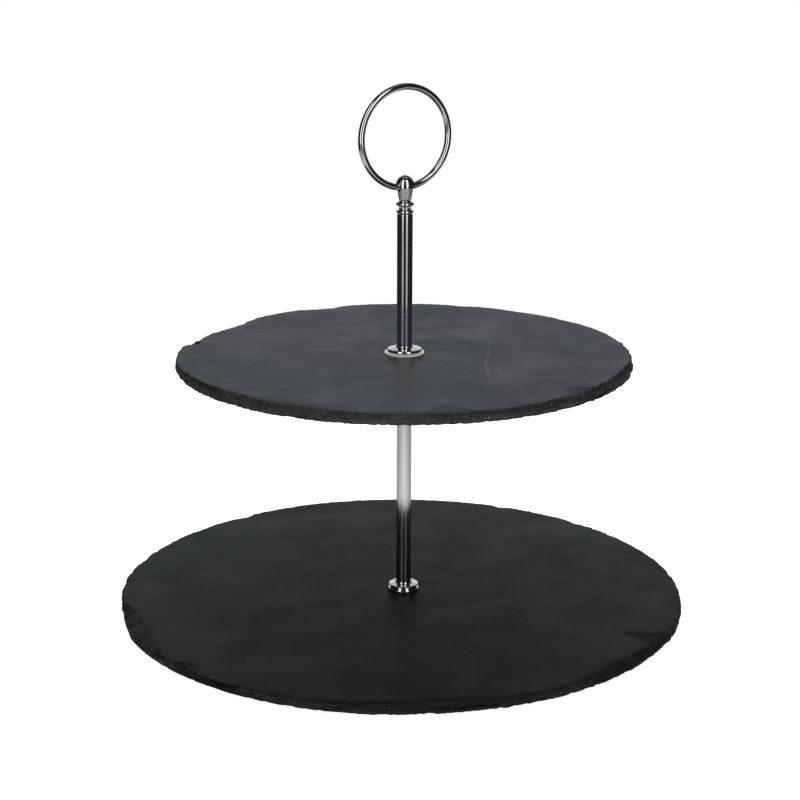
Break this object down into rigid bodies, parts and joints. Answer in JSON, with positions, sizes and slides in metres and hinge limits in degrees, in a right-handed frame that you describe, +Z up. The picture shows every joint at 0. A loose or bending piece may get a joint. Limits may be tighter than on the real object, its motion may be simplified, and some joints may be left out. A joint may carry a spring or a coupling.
{
  "type": "tiered cake stand",
  "caption": "Tiered cake stand: round chipped-edge slate plates bolted to a slim chromed rod, with a turned finial and a wire ring handle that swings.",
  "frame": {"origin": "on the rod axis, in the plane the four feet stand on", "axes": "+Z up along the rods; the ring handle stands in the XZ plane and its hinge runs along X through the finial's cross hole"},
  "size_m": [0.3002, 0.2996, 0.2801],
  "materials": {
    "slate": "riven matt natural slate with dressed, chipped edges",
    "chrome": "bright polished plating",
    "cream_plastic": "satin moulded",
    "black_rubber": "matt",
    "zinc_steel": "zinc plated, satin"
  },
  "bodies": {
    "stand": {"lower_slate_plate": "slate", "upper_slate_plate": "slate", "lower_collar": "chrome", "lower_rod": "chrome", "upper_support_collar": "chrome", "upper_collar": "chrome", "upper_rod": "chrome", "finial": "chrome", "upper_plate_pad_washer": "cream_plastic", "foot_front_left": "black_rubber", "foot_front_right": "black_rubber", "foot_back_left": "black_rubber", "foot_back_right": "black_rubber", "base_rubber_washer": "black_rubber", "lower_plate_pad_washer": "black_rubber", "upper_support_pad": "black_rubber", "lower_rod_bottom_insert": "zinc_steel", "lower_rod_top_insert": "zinc_steel", "joining_stud": "zinc_steel", "upper_rod_bottom_insert": "zinc_steel", "upper_rod_top_insert": "zinc_steel", "finial_stud": "zinc_steel", "base_screw": "zinc_steel", "base_steel_washer": "zinc_steel"},
    "ring": {"ring_handle": "chrome"}
  },
  "joints": [
    {"name": "ring_swing", "type": "hinge", "parent": "stand", "child": "ring", "pos_m": [0, 0, 0.2278], "axis": [1, 0, 0], "range_deg": [-172, 172]}
  ]
}
